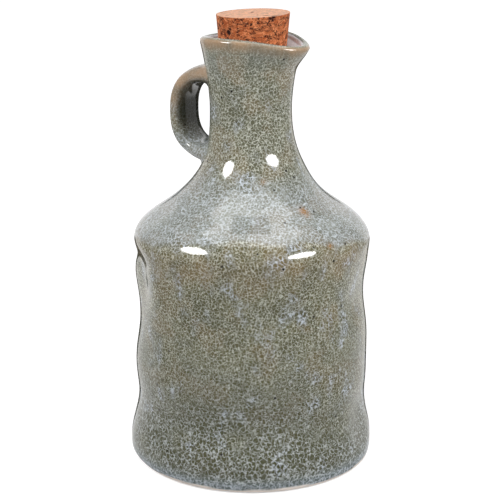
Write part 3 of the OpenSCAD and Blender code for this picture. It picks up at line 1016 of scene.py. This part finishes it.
def white_floor():
    """A pale matt floor whose glow for the camera rises with the way from the pot, and which
    reflections and glass see as plain white, dimmer further back."""
    material, tree = empty_material("floor")
    rays = add(tree, "ShaderNodeLightPath").outputs
    place = add(tree, "ShaderNodeTexCoord").outputs["Object"]
    away = add(tree, "ShaderNodeVectorMath", {0: place}, operation="LENGTH").outputs["Value"]
    level = product(tree, rays["Is Camera Ray"], step_between(tree, away, 0.15, 0.9, 0.62, 1.0))
    matt = add(tree, "ShaderNodeBsdfDiffuse", {"Color": (0.6, 0.6, 0.6, 1.0)})
    glow = add(tree, "ShaderNodeEmission", {"Strength": level})
    both = add(tree, "ShaderNodeAddShader", {0: matt.outputs[0], 1: glow.outputs[0]})
    sweep = {0: place, 1: tuple(SWEEP_AWAY * BACK)}
    beyond = add(tree, "ShaderNodeVectorMath", sweep, operation="DISTANCE").outputs["Value"]
    white = add(tree, "ShaderNodeEmission", {"Strength": step_between(tree, beyond, 0.24, 0.42, 1.0, 0.45)})
    mirrored = maths(tree, "ADD", rays["Is Glossy Ray"], rays["Is Transmission Ray"], clamp=True)
    shown = add(tree, "ShaderNodeMixShader", {0: mirrored, 1: both.outputs[0], 2: white.outputs[0]})
    add(tree, "ShaderNodeOutputMaterial", {"Surface": shown.outputs[0]})
    return material


square = np.array([[-1, -1], [1, -1], [1, 1], [-1, 1]])
floor = sheet("floor", [(FLOOR_HALF * x, FLOOR_HALF * y, FLOOR_H) for x, y in square], white_floor())
print("floor m:", 2 * FLOOR_HALF, "each way, nodes:", len(floor.data.materials[0].node_tree.nodes))

# %% [markdown]
# The sky is one white all round. Only the camera sees it full. It lights the pot faintly,
# because the lamps do that, and the glaze mirrors it at a little under half, as a room is
# darker than its lit backdrop.

# %% The sky
SKY_LIGHT, SKY_MIRRORED = 0.15, 0.4
world = bpy.data.worlds.new("studio")
bpy.context.scene.world = world
world.use_nodes = True
sky = world.node_tree
sky.nodes.clear()
rays = add(sky, "ShaderNodeLightPath").outputs
seen = maths(sky, "ADD", rays["Is Camera Ray"], rays["Is Transmission Ray"], clamp=True)
bright = highest(sky, seen, product(sky, rays["Is Glossy Ray"], SKY_MIRRORED))
level = add(sky, "ShaderNodeMapRange", {0: bright, 3: SKY_LIGHT, 4: 1.0}).outputs[0]
glow = add(sky, "ShaderNodeBackground", {"Color": (1, 1, 1, 1), "Strength": level})
add(sky, "ShaderNodeOutputWorld", {"Surface": glow.outputs[0]})
print(world.name, "nodes:", len(sky.nodes))

# %% [markdown]
# A photographer sets cards round a glossy pot to say what it mirrors: dark ones behind it
# draw a thin dark line along its edges, against a white backdrop further off, and one
# under the lamp leaves a dark window in the lamp's reflection on the shoulder. These cards
# are seen by reflections only, and neither by the camera nor by the light.

# %% Cards for the reflections
DARK_LEVEL, WHITE_LEVEL = 0.02, 1.0


def card_material(name, level):
    """A flat grey that shines by itself, so that a card looks the same from anywhere."""
    material, tree = empty_material(name)
    glow = add(tree, "ShaderNodeEmission", {"Strength": level})
    add(tree, "ShaderNodeOutputMaterial", {"Surface": glow.outputs[0]})
    return material


def card(name, corners, material):
    """A flat card that only reflections see."""
    thing = sheet(name, corners, material)
    thing.visible_camera = thing.visible_diffuse = thing.visible_shadow = thing.visible_transmission = False
    print(name, "m:", np.ptp(np.array(corners), axis=0).round(3))


def place_in_view(right, back, up):
    """A point that lies so far to the right, behind and above the middle of the foot."""
    return right * RIGHT + back * BACK + up * UP


def upright(away, wide, low, high):
    """The corners of a card behind the pot, square to the view: half width and heights in metres."""
    return [place_in_view(right, away, up)
            for right, up in ((-wide, low), (wide, low), (wide, high), (-wide, high))]


dark, white = card_material("dark_card", DARK_LEVEL), card_material("white_card", WHITE_LEVEL)
card("body_card", upright(0.12, 0.112, 0.0, 0.086), dark)
card("neck_card", upright(0.10, 0.072, 0.135, 0.20), dark)
card("backdrop", upright(0.5, 0.52, 0.0, 0.46), white)
lying = [(-0.064, 0.012), (-0.112, 0.12), (0.112, 0.12), (0.064, 0.012)]
card("foot_card", [place_in_view(right, back, 0.0005) for right, back in lying], dark)
overhead = [(-0.068, -0.006), (0.062, -0.006), (0.062, 0.075), (-0.068, 0.075)]
card("lamp_neck", [place_in_view(right, back, 0.45) for right, back in overhead], dark)

# %% [markdown]
# Two softboxes, one on each side of the camera, and a broad lamp overhead light the pot.
# An area light shows in the glaze as a highlight of its own shape, so the side ones are
# ellipses, as the photo's highlights are rounded. The lamp overhead gets a card as its
# face, because its reflection on the shoulder is brighter than its light on the pot.

# %% Softboxes and the lamp overhead
AIM, LAMP_AWAY = Vector((0, 0, 0.13)), 0.6
LAMP_WIDE, LAMP_DEEP, FACE_DROP, FACE_LEVEL = 0.66, 0.52, 0.002, 2.9


def softbox(name, azimuth, elevation, width, height, power, shape="ELLIPSE"):
    """An area light at an azimuth and elevation from the pot, facing it."""
    turn, rise = np.radians(azimuth), np.radians(elevation)
    offset = Vector((np.sin(turn) * np.cos(rise), -np.cos(turn) * np.cos(rise), np.sin(rise))) * LAMP_AWAY
    light = bpy.data.lights.new(name, "AREA")
    light.shape, light.size, light.size_y, light.energy = shape, width, height, power
    lamp = bpy.data.objects.new(name, light)
    lamp.location = AIM + offset
    lamp.rotation_euler = (-offset).to_track_quat("-Z", "Y").to_euler()
    bpy.context.collection.objects.link(lamp)
    print(name, "at m:", tuple(round(value, 3) for value in lamp.location))
    return lamp


softbox("left_softbox", -29, 32, 0.27, 0.16, 2.4)
softbox("right_softbox", 84, 27, 0.30, 0.14, 2.7)
top = softbox("top_softbox", 32, 82, LAMP_WIDE, LAMP_DEEP, 2.2, shape="RECTANGLE")
turned = np.array(top.rotation_euler.to_matrix())
face = np.array([[LAMP_WIDE / 2 * x, LAMP_DEEP / 2 * y, -FACE_DROP] for x, y in square])
card("lamp_face", face @ turned.T + np.array(top.location), card_material("lamp_face", FACE_LEVEL))

# %% [markdown]
# The camera stands where the photo's did. Its distance, height, tilt and lens were fitted
# to the outline and to the ellipses of the rim, the cork and the foot, and it stands a
# hair to the left of straight on, which puts the pot where the photo has it.

# %% The camera
LOOK_DOWN, CAMERA_AWAY, CAMERA_H, CAMERA_LEFT, LENS = np.radians(15.124), 0.720, 0.30266, 0.0004, 104.45
camera = bpy.data.objects.new("camera", bpy.data.cameras.new("camera"))
camera.data.lens = LENS
camera.data.sensor_width = 36
camera.location = place_in_view(-CAMERA_LEFT, -CAMERA_AWAY, CAMERA_H)
camera.rotation_euler = (np.pi / 2 - LOOK_DOWN, 0, VIEW_TURN)
bpy.context.collection.objects.link(camera)
bpy.context.scene.camera = camera
bpy.context.scene.view_settings.view_transform = "Standard"
print("camera at m:", tuple(round(value, 4) for value in camera.location))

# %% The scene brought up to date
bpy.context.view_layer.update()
